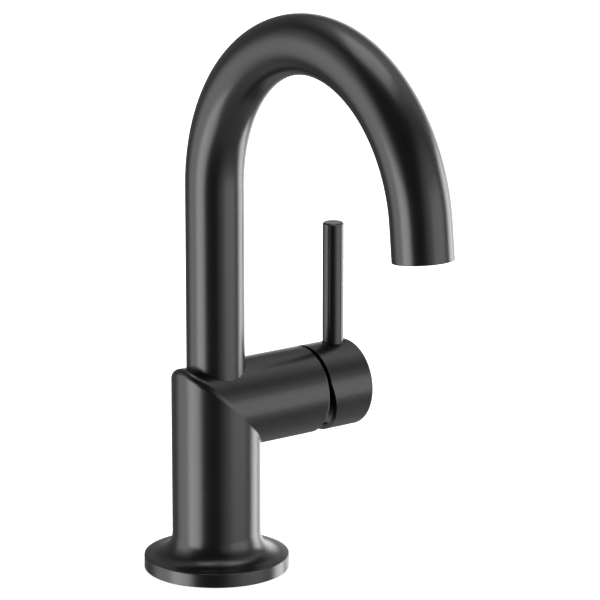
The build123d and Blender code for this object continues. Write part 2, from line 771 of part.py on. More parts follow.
# Fixed disc: two curved inlets, a round outlet below them and a notch each side for the base's keys
with BuildPart() as fixed_disc:
    inlet_reach = hypot(port_y, base_pocket_high)
    inlet_angle = degrees(asin(base_pocket_high / inlet_reach))
    with BuildSketch(across_arm(base_end_x)):
        Circle(disc_radius)
        for middle in (inlet_angle, 180 - inlet_angle):
            arc = CenterArc((0, 0), inlet_reach, middle - disc_port_arc / 2, disc_port_arc)
            SlotArc(arc=arc, height=disc_port_width, mode=Mode.SUBTRACT)
        with Locations((0, mixed_pocket_low)):
            Circle(base_port_radius, mode=Mode.SUBTRACT)
    extrude(amount=fixed_disc_thickness)
    with BuildSketch(across_arm(base_end_x)):
        Circle(2 * disc_radius)
        Circle(disc_radius - key_depth, mode=Mode.SUBTRACT)
        Rectangle(4 * disc_radius, leg_width + 2 * running_gap, mode=Mode.INTERSECT)
    extrude(amount=fixed_disc_thickness, mode=Mode.SUBTRACT)
write(fixed_disc, "fixed_disc")

# Moving disc: an oval hollow on its inner face joins inlets and outlet when it slides up
with BuildPart() as moving_disc:
    with BuildSketch(across_arm(moving_disc_x)):
        Circle(moving_disc_radius)
    extrude(amount=moving_disc_thickness)
    with BuildSketch(across_arm(moving_disc_x)):
        with Locations((0, -disc_cavity_drop)):
            Ellipse(moving_disc_radius - disc_cavity_rim, disc_cavity_half_height)
    extrude(amount=disc_cavity_depth, mode=Mode.SUBTRACT)
write(moving_disc, "moving_disc")

# Disc carrier: a round flange on the disc and a flat-sided block with the ball's pocket
with BuildPart() as disc_carrier:
    disc_carrier_half_width = moving_disc_radius - disc_carrier_side_cut
    with BuildSketch(across_arm(disc_carrier_x)):
        Circle(moving_disc_radius)
    extrude(amount=disc_carrier_flange)
    with BuildSketch(across_arm(disc_carrier_x)):
        Circle(moving_disc_radius)
        Rectangle(2 * disc_carrier_half_width, 4 * moving_disc_radius, mode=Mode.INTERSECT)
    extrude(amount=disc_carrier_thickness)
    with BuildSketch(across_arm(disc_carrier_end_x)):
        Circle(ball_radius + running_gap)
    extrude(amount=-(disc_carrier_end_x - ball_x + ball_radius + 4 * loose_gap), mode=Mode.SUBTRACT)
write(disc_carrier, "disc_carrier")

# Stem carrier: a flange with two guide lugs and a slotted neck that turns in the housing
with BuildPart() as stem_carrier:
    lug_inner = disc_carrier_half_width + running_gap
    with BuildSketch(across_arm(carrier_flange_x)):
        Circle(disc_radius)
    extrude(amount=carrier_flange_thickness)
    with BuildSketch(across_arm(carrier_flange_x)):
        with Locations((lug_inner + carrier_lug_width / 2, 0), (-lug_inner - carrier_lug_width / 2, 0)):
            Rectangle(carrier_lug_width, 2 * carrier_lug_half_height)
    extrude(amount=-carrier_lug_reach)
    with BuildSketch(across_arm(carrier_flange_end_x)):
        Circle(carrier_neck_radius)
    extrude(amount=carrier_end_x - carrier_flange_end_x)
    with BuildSketch(across_arm(carrier_seal_x)):
        Circle(2 * carrier_neck_radius)
        Circle(carrier_neck_radius - carrier_seal_depth, mode=Mode.SUBTRACT)
    extrude(amount=carrier_seal_height / 2, both=True, mode=Mode.SUBTRACT)
    with BuildSketch(across_arm(carrier_flange_x)):
        Rectangle(2 * (stem_half_width + running_gap), 2 * slot_half_height)
    extrude(amount=carrier_end_x - carrier_flange_x, mode=Mode.SUBTRACT)
    with BuildSketch(Plane.XZ):
        with Locations((pivot_x, arm_height)):
            Circle(pin_radius + fixed_gap)
    extrude(amount=column_radius, both=True, mode=Mode.SUBTRACT)
write(stem_carrier, "stem_carrier")

# Seal of the stem carrier's neck
with BuildPart() as carrier_seal:
    neck_seal_inner = carrier_neck_radius - carrier_seal_depth
    neck_seal_section = (neck_bore_radius - fixed_gap - neck_seal_inner) / 2
    with BuildSketch(Plane.XZ):
        with Locations((carrier_seal_x, arm_height + neck_seal_inner + neck_seal_section)):
            Circle(neck_seal_section)
    revolve(axis=Axis((0, 0, arm_height), (1, 0, 0)))
write(carrier_seal, "carrier_seal")

# Pivot pin across the stem carrier
with BuildPart() as pivot_pin:
    with BuildSketch(Plane.XZ):
        with Locations((pivot_x, arm_height)):
            Circle(pin_radius)
    extrude(amount=carrier_neck_radius - loose_gap, both=True)
write(pivot_pin, "pivot_pin")

# Cartridge housing: a cup with a narrower neck and a slot each side for the base's legs
with BuildPart() as cartridge_housing:
    with BuildSketch(across_arm(base_end_x)):
        Circle(cartridge_radius)
    extrude(amount=housing_shoulder_x - base_end_x)
    with BuildSketch(across_arm(housing_shoulder_x)):
        Circle(housing_neck_radius)
    extrude(amount=housing_end_x - housing_shoulder_x)
    with BuildSketch(across_arm(base_end_x)):
        Circle(housing_bore_radius)
    extrude(amount=carrier_flange_end_x + loose_gap - base_end_x, mode=Mode.SUBTRACT)
    with BuildSketch(across_arm(base_end_x)):
        Circle(neck_bore_radius)
    extrude(amount=housing_end_x - base_end_x, mode=Mode.SUBTRACT)
    with BuildSketch(across_arm(base_end_x)):
        Rectangle(4 * cartridge_radius, leg_width + 2 * running_gap)
    extrude(amount=leg_length + running_gap, mode=Mode.SUBTRACT)
write(cartridge_housing, "cartridge_housing")

# Bonnet nut: a threaded ring that holds the cartridge down, with a hex collar for the spanner
with BuildPart() as bonnet_nut:
    with BuildSketch(across_arm(housing_shoulder_x)):
        Circle(thread_bore_radius - loose_gap)
    extrude(amount=bonnet_thread_end_x - housing_shoulder_x)
    with BuildSketch(across_arm(bonnet_thread_end_x)):
        RegularPolygon(bonnet_flats / 2, 6, major_radius=False)
    extrude(amount=bonnet_end_x - bonnet_thread_end_x)
    with BuildSketch(across_arm(housing_shoulder_x)):
        Circle(bonnet_bore_radius)
    extrude(amount=bonnet_end_x - housing_shoulder_x, mode=Mode.SUBTRACT)
write(bonnet_nut, "bonnet_nut")

# Bonnet trim: a thin ring over the nut, on a spigot in the nut's bore
with BuildPart() as bonnet_trim:
    with BuildSketch(across_arm(bonnet_end_x)):
        Circle(trim_radius)
    extrude(amount=trim_thickness)
    fillet(bonnet_trim.faces().sort_by(Axis.X)[-1].edges(), radius=trim_thickness / 2)
    with BuildSketch(across_arm(bonnet_end_x)):
        Circle(housing_neck_radius)
    extrude(amount=-trim_spigot)
    with BuildSketch(across_arm(bonnet_end_x)):
        Circle(housing_neck_radius - trim_spigot_wall)
    extrude(amount=-trim_spigot, mode=Mode.SUBTRACT)
    with BuildSketch(across_arm(bonnet_end_x)):
        Circle(trim_opening_radius)
    extrude(amount=trim_thickness, mode=Mode.SUBTRACT)
write(bonnet_trim, "bonnet_trim")

# Valve stem: a ball, a thin neck and a flat-sided bar that the hub sits on
with BuildPart() as valve_stem:
    bar_start_x = 2 * pivot_x - carrier_end_x
    with Locations((ball_x, 0, arm_height)):
        Sphere(ball_radius)
    with BuildSketch(across_arm(ball_x)):
        Circle(ball_neck_radius)
    extrude(amount=bar_start_x - ball_x)
    with BuildSketch(across_arm(bar_start_x)):
        Circle(stem_radius)
        Rectangle(2 * stem_half_width, 4 * stem_radius, mode=Mode.INTERSECT)
    extrude(amount=stem_end_x - bar_start_x)
    with BuildSketch(Plane.XZ):
        with Locations((pivot_x, arm_height)):
            Circle(pin_radius + running_gap)
    extrude(amount=column_radius, both=True, mode=Mode.SUBTRACT)
write(valve_stem, "valve_stem")

# Handle hub: a round cup whose inner face leans back below, solid at its outer end
with BuildPart() as handle_hub:
    with BuildSketch(across_arm(hub_face_x)):
        Circle(column_radius)
    extrude(amount=hub_end_x - hub_face_x)
    fillet(handle_hub.faces().sort_by(Axis.X)[-1].edges(), radius=hub_edge_round)
    relief_plane = Plane(
        origin=(hub_face_x, 0, arm_height + hub_relief_rise),
        x_dir=(0, 1, 0),
        z_dir=Vector(tan(hub_relief), 0, -1).cross(Vector(0, 1, 0)),
    )
    split(bisect_by=relief_plane, keep=Keep.TOP)
    with BuildSketch(across_arm(arm_end_x)):
        Circle(column_radius - hub_wall)
    extrude(amount=hub_web_x - arm_end_x, mode=Mode.SUBTRACT)
    with BuildSketch(across_arm(hub_web_x)):
        Circle(stem_radius + fixed_gap)
        Rectangle(2 * (stem_half_width + fixed_gap), 4 * stem_radius, mode=Mode.INTERSECT)
    extrude(amount=stem_end_x + loose_gap - hub_web_x, mode=Mode.SUBTRACT)
    with BuildSketch(Plane.XY.offset(rod_foot_height)):
        with Locations((rod_x, 0)):
            Circle(rod_radius + rod_seat_margin)
    extrude(amount=2 * rod_seat_depth, mode=Mode.SUBTRACT)
    with BuildSketch(Plane.XY.offset(rod_foot_height)):
        with Locations((rod_x, 0)):
            Circle(rod_shank_radius + fixed_gap)
    extrude(amount=-rod_shank_length - loose_gap, mode=Mode.SUBTRACT)
    with BuildSketch(Plane.XY.offset(arm_height - stem_radius)):
        with Locations((rod_x, 0)):
            Circle(hub_screw_radius + fixed_gap)
    extrude(amount=-column_radius, mode=Mode.SUBTRACT)
write(handle_hub, "handle_hub")

# Handle rod: a plain round lever with a slightly flared foot and a threaded shank below
with BuildPart() as handle_rod:
    with BuildSketch(Plane.XY.offset(rod_foot_height)):
        with Locations((rod_x, 0)):
            Circle(rod_radius)
    extrude(amount=rod_length)
    chamfer(handle_rod.faces().sort_by(Axis.Z)[-1].edges(), length=rod_edge_chamfer)
    with Locations((rod_x, 0, rod_foot_height)):
        Cone(
            rod_radius + rod_foot_flare,
            rod_radius,
            rod_foot_flare_height,
            align=(Align.CENTER, Align.CENTER, Align.MIN),
        )
    with BuildSketch(Plane.XY.offset(rod_foot_height)):
        with Locations((rod_x, 0)):
            Circle(rod_shank_radius)
    extrude(amount=-rod_shank_length)
write(handle_rod, "handle_rod")

# Hub screw: a grub screw from below that holds the hub on the stem
with BuildPart() as hub_set_screw:
    hub_screw_length = column_radius - stem_radius - hub_wall
    with BuildSketch(Plane.XY.offset(arm_height - stem_radius)):
        with Locations((rod_x, 0)):
            Circle(hub_screw_radius)
    extrude(amount=-hub_screw_length)
    with BuildSketch(Plane.XY.offset(arm_height - stem_radius - hub_screw_length)):
        with Locations((rod_x, 0)):
            RegularPolygon(hub_screw_radius / 2, 6, major_radius=False)
    extrude(amount=hub_screw_length / 3, mode=Mode.SUBTRACT)
write(hub_set_screw, "hub_set_screw")
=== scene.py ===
"""Looks of a single-lever bathroom sink faucet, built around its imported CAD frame.

The deck's surface is z = 0, the column stands on the Z axis, the spout points to -Y and the arm to +X.
Sizes in the classes are millimetres, and Blender's own units are metres.
"""

import json
import logging
from dataclasses import dataclass
from enum import Enum
from functools import cache
from math import cos, pi, radians, sin, sqrt, tan
from typing import Callable

import bpy
from mathutils import Euler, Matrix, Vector

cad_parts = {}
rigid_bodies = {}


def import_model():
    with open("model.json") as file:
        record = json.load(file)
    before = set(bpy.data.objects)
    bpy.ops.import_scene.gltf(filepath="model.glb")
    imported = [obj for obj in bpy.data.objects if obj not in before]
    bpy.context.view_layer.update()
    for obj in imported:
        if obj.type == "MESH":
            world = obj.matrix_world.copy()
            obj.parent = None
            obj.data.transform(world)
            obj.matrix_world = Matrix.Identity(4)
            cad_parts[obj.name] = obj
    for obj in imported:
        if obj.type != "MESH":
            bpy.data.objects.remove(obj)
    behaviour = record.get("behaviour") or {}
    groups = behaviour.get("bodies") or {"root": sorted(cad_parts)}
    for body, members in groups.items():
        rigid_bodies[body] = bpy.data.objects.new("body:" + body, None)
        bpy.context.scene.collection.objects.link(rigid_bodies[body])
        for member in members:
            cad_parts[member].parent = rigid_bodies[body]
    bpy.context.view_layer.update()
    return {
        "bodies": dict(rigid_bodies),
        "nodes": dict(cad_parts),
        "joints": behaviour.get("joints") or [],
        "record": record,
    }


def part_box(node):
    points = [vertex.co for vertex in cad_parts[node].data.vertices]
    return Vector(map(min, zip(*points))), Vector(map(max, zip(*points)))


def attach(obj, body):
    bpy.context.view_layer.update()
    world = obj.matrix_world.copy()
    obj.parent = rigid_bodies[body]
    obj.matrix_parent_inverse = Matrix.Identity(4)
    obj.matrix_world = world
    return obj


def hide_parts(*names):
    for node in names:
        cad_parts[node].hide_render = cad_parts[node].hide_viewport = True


LOG = logging.getLogger("faucet")
MM = 0.001
# Noise keeps between these values nearly everywhere, so a pattern is spread from here.
PATTERN_LOW, PATTERN_HIGH = 0.2, 0.8
# How far the tops of a bump stand above its valleys
BUMP_DEPTH = 0.02 * MM
# Vertices nearer than the first are one, and a face narrower than the second is a stray sliver.
SAME_PLACE = 0.001 * MM
SLIVER = 0.002 * MM
# Neighbouring faces of a CAD mesh that turn by less than this are one flat face.
FLAT_DEG = 0.5
# A vertex this near to a plane, in millimetres, lies on it.
ON_PLANE_MM = 0.01


class Axis(Enum):
    """The way that a turned or threaded piece's axis points, as the turn that lays Z along it."""

    UP = (0.0, 0.0, 0.0)
    ARM = (0.0, pi / 2, 0.0)
    BACK = (-pi / 2, 0.0, 0.0)

    @property
    def direction(self) -> Vector:
        """The axis as a unit vector."""
        return Euler(self.value).to_matrix() @ Vector((0, 0, 1))


class Boolean(Enum):
    """What one solid does to another."""

    CUT = "DIFFERENCE"
    KEEP_COMMON = "INTERSECT"


def linear(hex_colour: str) -> tuple[float, float, float, float]:
    """Turn an sRGB colour into the linear values that shaders take.

    Args:
        hex_colour: six hexadecimal digits, with or without a leading #.

    Returns:
        Red, green, blue and an alpha of 1.
    """
    digits = hex_colour.lstrip("#")
    parts = [int(digits[i : i + 2], 16) / 255 for i in (0, 2, 4)]
    return (*(p / 12.92 if p <= 0.04045 else ((p + 0.055) / 1.055) ** 2.4 for p in parts), 1.0)


def add_node(
    tree: bpy.types.NodeTree, kind: str, settings: dict | None = None, **sockets: object
) -> bpy.types.Node:
    """Add one node, with its settings, values and incoming links.

    Args:
        tree: the node tree that the node goes into.
        kind: the node's type name, without the words ShaderNode.
        settings: the node's own properties.
        sockets: a value or an output socket for each input, named in lower case with _ for a space,
            or by its number, as in input_0.

    Returns:
        The new node.
    """
    node = tree.nodes.new("ShaderNode" + kind)
    for key, value in (settings or {}).items():
        setattr(node, key, value)
    for key, value in sockets.items():
        if key.startswith("input_"):
            socket = node.inputs[int(key.removeprefix("input_"))]
        else:
            socket = next(s for s in node.inputs if s.name.lower().replace(" ", "_") == key)
        if isinstance(value, bpy.types.NodeSocket):
            tree.links.new(value, socket)
        else:
            socket.default_value = value
    return node


def new_material(name: str) -> tuple[bpy.types.Material, bpy.types.NodeTree]:
    """Make an empty material that uses nodes.

    Args:
        name: its name, which says what the real surface is.

    Returns:
        The material and its node tree.
    """
    material = bpy.data.materials.new(name)
    material.use_nodes = True
    material.node_tree.nodes.clear()
    return material, material.node_tree


def shift(
    tree: bpy.types.NodeTree, value: bpy.types.NodeSocket, low: float, high: float
) -> bpy.types.NodeSocket:
    """Spread a pattern's 0 to 1 over two values.

    Args:
        tree: the material's node tree.
        value: the pattern.
        low: the value where the pattern is at its lowest.
        high: the value where it is at its highest.

    Returns:
        The spread value's socket.
    """
    spread = add_node(
        tree, "MapRange", value=value, from_min=PATTERN_LOW, from_max=PATTERN_HIGH, to_min=low, to_max=high
    )
    return spread.outputs[0]


def blend(
    tree: bpy.types.NodeTree,
    factor: bpy.types.NodeSocket,
    first: str | bpy.types.NodeSocket,
    second: str | bpy.types.NodeSocket,
) -> bpy.types.NodeSocket:
    """Mix two colours.

    Args:
        tree: the material's node tree.
        factor: 0 for the first colour and 1 for the second.
        first: an sRGB colour or a socket.
        second: an sRGB colour or a socket.

    Returns:
        The mixed colour's socket.
    """
    ends = [linear(c) if isinstance(c, str) else c for c in (first, second)]
    mix = add_node(tree, "Mix", {"data_type": "RGBA"}, input_0=factor, input_6=ends[0], input_7=ends[1])
    return mix.outputs[2]


def from_axis(
    tree: bpy.types.NodeTree, axis: Axis, centre: tuple[float, float, float]
) -> dict[str, bpy.types.NodeSocket]:
    """Measure where a point lies about a piece's axis, in metres.

    Args:
        tree: the material's node tree.
        axis: the way the axis points.
        centre: a point on the axis, in millimetres.

    Returns:
        Sockets for the place along the axis, the way across it, the distance from it, and the place and the
        distance added up.
    """
    place = add_node(tree, "TexCoord").outputs["Object"]
    out = add_node(tree, "VectorMath", {"operation": "SUBTRACT"}, input_0=place, input_1=Vector(centre) * MM)
    along = add_node(
        tree, "VectorMath", {"operation": "DOT_PRODUCT"}, input_0=out.outputs[0], input_1=axis.direction
    )
    side = Vector((1, 1, 1)) - Vector(abs(c) for c in axis.direction)
    across = add_node(tree, "VectorMath", {"operation": "MULTIPLY"}, input_0=out.outputs[0], input_1=side)
    distance = add_node(tree, "VectorMath", {"operation": "LENGTH"}, input_0=across.outputs[0])
    both = add_node(tree, "Math", input_0=along.outputs["Value"], input_1=distance.outputs["Value"])
    return {
        "along": along.outputs["Value"],
        "across": across.outputs[0],
        "distance": distance.outputs["Value"],
        "both": both.outputs[0],
    }


@dataclass(frozen=True)
class Finish:
    """A surface that a piece can have. Each kind builds its own shader."""

    def material(self) -> bpy.types.Material:
        """Build the shader."""
        raise NotImplementedError


@cache
def shader_of(finish: Finish) -> bpy.types.Material:
    """The one material of a finish, which every piece with that finish shares."""
    return finish.material()


@dataclass(frozen=True)
class PowderCoat(Finish):
    """Matte black powder coat baked on cast brass."""

    # Nearly black, with a broad soft sheen and a faint orange peel, drawn twice as coarse as the real 0.2 mm.
    name: str = "powder_coat_matte_black"
    colour: str = "#060606"
    worn: str = "#0a0a0a"
    roughness: float = 0.27
    roughness_swing: float = 0.01
    ior: float = 1.5
    peel_mm: float = 0.4
    peel_strength: float = 0.02
    cloud_mm: float = 18.0

    def tone(self, tree: bpy.types.NodeTree) -> dict[str, bpy.types.NodeSocket]:
        """Build the coat's pattern.

        Args:
            tree: the material's node tree.

        Returns:
            The coat's colour, roughness and normal as sockets.
        """
        place = add_node(tree, "TexCoord").outputs["Object"]
        peel = add_node(tree, "TexNoise", vector=place, scale=1 / (self.peel_mm * MM), detail=2.0)
        cloud = add_node(tree, "TexNoise", vector=place, scale=1 / (self.cloud_mm * MM), detail=3.0)
        bump = add_node(
            tree, "Bump", height=peel.outputs[0], strength=self.peel_strength, distance=BUMP_DEPTH
        )
        low, high = self.roughness - self.roughness_swing, self.roughness + self.roughness_swing
        return {
            "base_color": blend(tree, cloud.outputs[0], self.colour, self.worn),
            "roughness": shift(tree, cloud.outputs[0], low, high),
            "normal": bump.outputs[0],
        }

    def material(self) -> bpy.types.Material:
        """Build the shader.

        Returns:
            The material.
        """
        material, tree = new_material(self.name)
        shader = add_node(tree, "BsdfPrincipled", ior=self.ior, **self.tone(tree))
        add_node(tree, "OutputMaterial", surface=shader.outputs[0])
        return material


class Tooling(Enum):
    """How a metal surface was worked, which is the way that its marks run."""

    TURNED = "rings round the axis"
    DRAWN = "streaks along the axis"


@dataclass(frozen=True)
class WorkedMetal(Finish):
    """Bare metal with the fine marks of a lathe's tool, a drawing die or a strip mill."""

    # Real marks are 0.1 mm apart or less. They are drawn at 0.35 mm so that they show.
    name: str
    colour: str
    tarnish: str
    axis: Axis = Axis.UP
    centre: tuple[float, float, float] = (0.0, 0.0, 0.0)
    tooling: Tooling = Tooling.TURNED
    roughness: float = 0.3
    roughness_drop: float = 0.06
    roughness_rise: float = 0.08
    mark_mm: float = 0.35
    mark_strength: float = 0.22
    stain_mm: float = 9.0

    def tone(self, tree: bpy.types.NodeTree) -> dict[str, bpy.types.NodeSocket]:
        """Build the metal's pattern.

        Args:
            tree: the material's node tree.

        Returns:
            The metal's colour, roughness and normal as sockets.
        """
        spot = from_axis(tree, self.axis, self.centre)
        fine = 1 / (self.mark_mm * MM)
        if self.tooling is Tooling.TURNED:
            marks = add_node(
                tree, "TexNoise", {"noise_dimensions": "1D"}, w=spot["both"], scale=fine, detail=2.0
            )
        else:
            marks = add_node(tree, "TexNoise", vector=spot["across"], scale=fine, detail=2.0)
        place = add_node(tree, "TexCoord").outputs["Object"]
        stain = add_node(tree, "TexNoise", vector=place, scale=1 / (self.stain_mm * MM), detail=4.0)
        bump = add_node(
            tree, "Bump", height=marks.outputs[0], strength=self.mark_strength, distance=BUMP_DEPTH
        )
        low, high = self.roughness - self.roughness_drop, self.roughness + self.roughness_rise
        return {
            "base_color": blend(tree, shift(tree, stain.outputs[0], 0.0, 1.0), self.colour, self.tarnish),
            "roughness": shift(tree, marks.outputs[0], low, high),
            "normal": bump.outputs[0],
        }

    def material(self) -> bpy.types.Material:
        """Build the shader.

        Returns:
            The material.
        """
        material, tree = new_material(self.name)
        shader = add_node(tree, "BsdfPrincipled", metallic=1.0, **self.tone(tree))
        add_node(tree, "OutputMaterial", surface=shader.outputs[0])
        return material


@dataclass(frozen=True)
class CoatedCasting(Finish):
    """Powder coat outside, and bare turned brass where the body's bores were plugged against the coat."""

    name: str = "powder_coat_over_bored_brass"
    coat: PowderCoat = PowderCoat()
    brass: WorkedMetal = WorkedMetal("machined_brass", "#d8b66c", "#b8924c")
    # Each bore's radius and both its ends: the heights of the upright ones, and the places along the arm of
    # the cartridge's
    foot_bore_radius: float = 16.4
    foot_bore_bottom: float = 0.05
    foot_bore_top: float = 49.9
    socket_radius: float = 12.7
    socket_bottom: float = 66.0
    socket_top: float = 83.5
    arm_height: float = 71.0
    cartridge_bore_radius: float = 16.6
    bare_from: float = 12.0
    bare_to: float = 43.8

    def within(
        self, tree: bpy.types.NodeTree, axis: Axis, height: float, radius: float, low: float, high: float
    ) -> bpy.types.NodeSocket:
        """A mask for the inside of an upright or level cylinder.

        Args:
            tree: the material's node tree.
            axis: the way its axis points.
            height: how high the axis lies, for a level one.
            radius: its radius.
            low: where it begins along its axis.
            high: where it ends.

        Returns:
            A socket that is 1 inside and 0 outside.
        """
        place = from_axis(tree, axis, (0, 0, height))
        near = add_node(
            tree, "Math", {"operation": "LESS_THAN"}, input_0=place["distance"], input_1=radius * MM
        ).outputs[0]
        halfway, reach = (low + high) / 2 * MM, (high - low) / 2 * MM
        between = add_node(
            tree, "Math", {"operation": "COMPARE"}, input_0=place["along"], input_1=halfway, input_2=reach
        ).outputs[0]
        return add_node(tree, "Math", {"operation": "MULTIPLY"}, input_0=near, input_1=between).outputs[0]

    def material(self) -> bpy.types.Material:
        """Build the shader.

        Returns:
            The material.
        """
        material, tree = new_material(self.name)
        bores = (
            self.within(tree, Axis.UP, 0, self.foot_bore_radius, self.foot_bore_bottom, self.foot_bore_top),
            self.within(tree, Axis.UP, 0, self.socket_radius, self.socket_bottom, self.socket_top),
            self.within(
                tree, Axis.ARM, self.arm_height, self.cartridge_bore_radius, self.bare_from, self.bare_to
            ),
        )
        bare = bores[0]
        for bore in bores[1:]:
            bare = add_node(tree, "Math", {"operation": "MAXIMUM"}, input_0=bare, input_1=bore).outputs[0]
        coat, brass = self.coat.tone(tree), self.brass.tone(tree)
        rough = add_node(
            tree,
            "Mix",
            {"data_type": "FLOAT"},
            input_0=bare,
            input_2=coat["roughness"],
            input_3=brass["roughness"],
        )
        normal = add_node(
            tree,
            "Mix",
            {"data_type": "VECTOR"},
            input_0=bare,
            input_4=coat["normal"],
            input_5=brass["normal"],
        )
        shader = add_node(
            tree,
            "BsdfPrincipled",
            base_color=blend(tree, bare, coat["base_color"], brass["base_color"]),
            metallic=bare,
            roughness=rough.outputs[0],
            ior=self.coat.ior,
            normal=normal.outputs[1],
        )
        add_node(tree, "OutputMaterial", surface=shader.outputs[0])
        return material


@dataclass(frozen=True)
class Moulding(Finish):
    """Plastic, rubber or ceramic out of a mould, with the mould's fine grain and slightly uneven colour."""

    # The colour's clouds are many grains wide.
    name: str
    colour: str
    shade: str
    roughness: float
    ior: float
    grain_mm: float
    grain_strength: float
    subsurface: float = 0.0
    subsurface_mm: float = 1.5
    cloud_grains: float = 30.0
    roughness_swing: float = 0.04

    def material(self) -> bpy.types.Material:
        """Build the shader.

        Returns:
            The material.
        """
        material, tree = new_material(self.name)
        place = add_node(tree, "TexCoord").outputs["Object"]
        grain = add_node(tree, "TexNoise", vector=place, scale=1 / (self.grain_mm * MM), detail=3.0)
        cloud = add_node(
            tree, "TexNoise", vector=place, scale=1 / (self.cloud_grains * self.grain_mm * MM), detail=3.0
        )
        bump = add_node(
            tree, "Bump", height=grain.outputs[0], strength=self.grain_strength, distance=BUMP_DEPTH
        )
        low, high = self.roughness - self.roughness_swing, self.roughness + self.roughness_swing
        shader = add_node(
            tree,
            "BsdfPrincipled",
            base_color=blend(tree, shift(tree, cloud.outputs[0], 0.0, 1.0), self.colour, self.shade),
            roughness=shift(tree, grain.outputs[0], low, high),
            ior=self.ior,
            subsurface_weight=self.subsurface,
            subsurface_scale=self.subsurface_mm * MM,
            normal=bump.outputs[0],
        )
        add_node(tree, "OutputMaterial", surface=shader.outputs[0])
        return material


def activate(piece: bpy.types.Object) -> None:
    """Select one object alone and make it the active one.

    Args:
        piece: the object.
    """
    bpy.ops.object.select_all(action="DESELECT")
    piece.select_set(True)
    bpy.context.view_layer.objects.active = piece


def edit(piece: bpy.types.Object) -> None:
    """Enter edit mode on one object with all of its mesh selected.

    Args:
        piece: the object.
    """
    activate(piece)
    bpy.ops.object.mode_set(mode="EDIT")
    bpy.ops.mesh.select_mode(type="VERT")
    bpy.ops.mesh.select_all(action="SELECT")


def leave_edit() -> None:
    """Go back to object mode."""
    bpy.ops.object.mode_set(mode="OBJECT")


def split_into_triangles() -> None:
    """Split the selected faces into triangles."""
    bpy.ops.mesh.quads_convert_to_tris(quad_method="BEAUTY", ngon_method="BEAUTY")


def pick(piece: bpy.types.Object, wanted: Callable[[Vector], bool]) -> None:
    """Enter edit mode on a piece with only some of its vertices selected.

    Args:
        piece: the piece.
        wanted: says whether a vertex is selected, from its place in millimetres.
    """
    edit(piece)
    bpy.ops.mesh.select_all(action="DESELECT")
    leave_edit()
    for vertex in piece.data.vertices:
        vertex.select = wanted(vertex.co / MM)
    bpy.ops.object.mode_set(mode="EDIT")


def apply_modifiers(piece: bpy.types.Object) -> None:
    """Apply a piece's modifiers, first to last.

    Args:
        piece: the piece.
    """
    activate(piece)
    for name in [modifier.name for modifier in piece.modifiers]:
        bpy.ops.object.modifier_apply(modifier=name)


def settle(piece: bpy.types.Object) -> None:
    """Put a piece's place into its mesh, so that its object sits at the origin."""
    activate(piece)
    bpy.ops.object.transform_apply(location=True, rotation=True, scale=True)


def combine(piece: bpy.types.Object, tool: bpy.types.Object, action: Boolean) -> None:
    """Let one solid cut another, or leave only what they share.

    Args:
        piece: the solid that is changed.
        tool: the solid that changes it, which is then deleted.
        action: cut it away, or keep what both share.
    """
    modifier = piece.modifiers.new("shape", "BOOLEAN")
    modifier.operation = action.value
    modifier.solver = "EXACT"
    modifier.object = tool
    apply_modifiers(piece)
    bpy.data.objects.remove(tool)


def finish_piece(
    piece: bpy.types.Object, name: str, finish: Finish, smooth_deg: float = 30.0
) -> bpy.types.Object:
    """Name a new piece, rid it of stray slivers, smooth its curved faces and give it its surface.

    Args:
        piece: the piece.
        name: its name.
        finish: its surface.
        smooth_deg: edges sharper than this stay sharp.

    Returns:
        The piece.
    """
    settle(piece)
    edit(piece)
    split_into_triangles()
    for _ in range(2):
        bpy.ops.mesh.dissolve_degenerate(threshold=SLIVER)
        split_into_triangles()
    leave_edit()
    piece.name = piece.data.name = name
    bpy.ops.object.shade_smooth_by_angle(angle=radians(smooth_deg))
    piece.data.materials.clear()
    piece.data.materials.append(shader_of(finish))
    return piece


def stand_for(piece: bpy.types.Object, node: str, body: str) -> bpy.types.Object:
    """Let a piece take a CAD node's place.

    Args:
        piece: the piece.
        node: the CAD node that it stands for.
        body: the CAD body that it rides on.

    Returns:
        The piece.
    """
    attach(piece, body)
    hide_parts(node)
    return piece


def copied(frame: dict, node: str) -> bpy.types.Object:
    """Copy a CAD node's mesh into a new object, as one closed surface.

    Args:
        node: the node's name.

    Returns:
        The copy.
    """
    piece = bpy.data.objects.new(node + "_copy", frame["nodes"][node].data.copy())
    bpy.context.scene.collection.objects.link(piece)
    edit(piece)
    bpy.ops.mesh.customdata_custom_splitnormals_clear()
    bpy.ops.mesh.remove_doubles(threshold=SAME_PLACE)
    bpy.ops.mesh.dissolve_limited(angle_limit=radians(FLAT_DEG))
    leave_edit()
    return piece


def middle(node: str) -> Vector:
    """The middle of a CAD node's box, in millimetres."""
    low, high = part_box(node)
    return (low + high) / 2 / MM


def drum(radius: float, length: float, centre: Vector, axis: Axis, sides: int = 64) -> bpy.types.Object:
    """Add a round bar.

    Args:
        radius: its radius in millimetres.
        length: its length in millimetres.
        centre: its middle in millimetres.
        axis: the way its axis points.
        sides: how many flats approximate it.

    Returns:
        The bar.
    """
    bpy.ops.object.select_all(action="DESELECT")
    bpy.ops.mesh.primitive_cylinder_add(
        vertices=sides, radius=radius * MM, depth=length * MM, location=centre * MM, rotation=axis.value
    )
    return bpy.context.object


